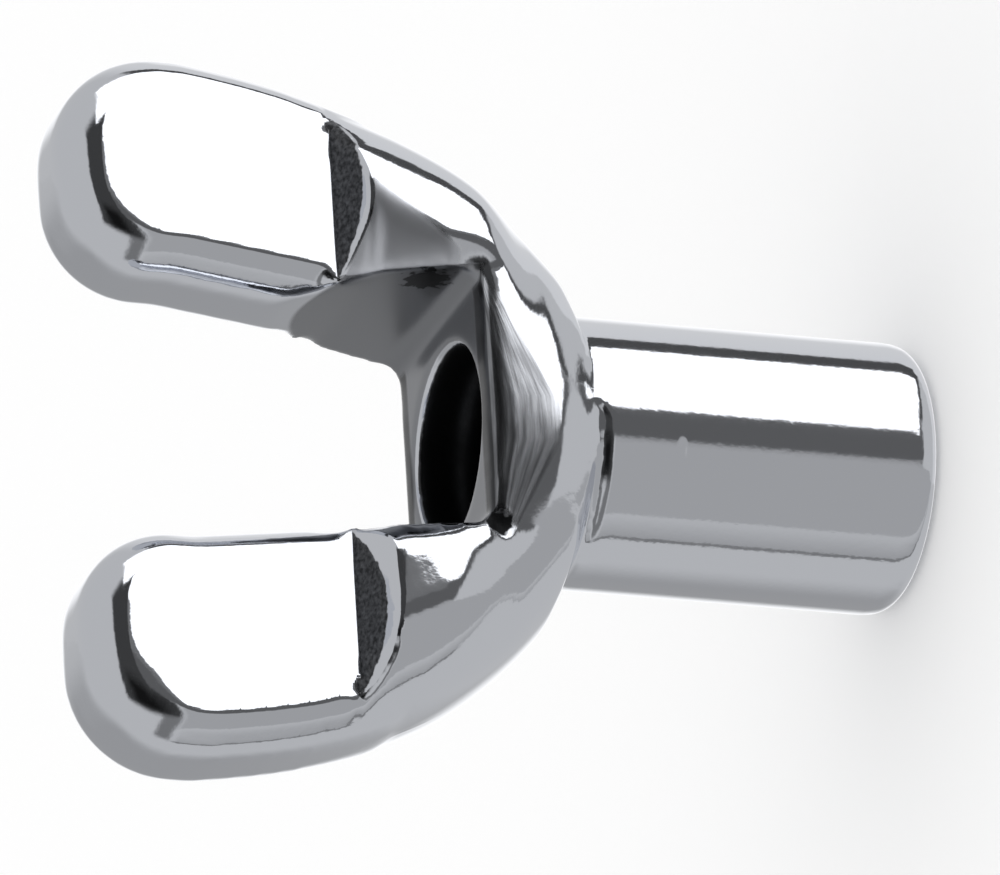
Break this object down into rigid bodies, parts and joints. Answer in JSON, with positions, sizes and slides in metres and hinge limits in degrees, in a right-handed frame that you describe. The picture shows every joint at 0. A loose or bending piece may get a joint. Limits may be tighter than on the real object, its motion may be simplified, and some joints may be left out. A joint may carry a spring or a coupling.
{
  "type": "wing nut",
  "caption": "Cast wing nut with a tall round threaded boss, rounded wings and a flat slot milled between them for a stud to come through.",
  "frame": {"origin": "centre of the boss seat face, where the bore comes out", "axes": "+Z along the bore from the seat towards the wing tips, +X across the span of the wings, -Y towards the front; the nut stands on its boss end"},
  "size_m": [0.033, 0.0126, 0.0388],
  "materials": {
    "chrome_plate": "polished plating over a casting, with rougher cast corners and a milled slot"
  },
  "bodies": {
    "root": {"wing_nut": "chrome_plate"}
  },
  "joints": []
}
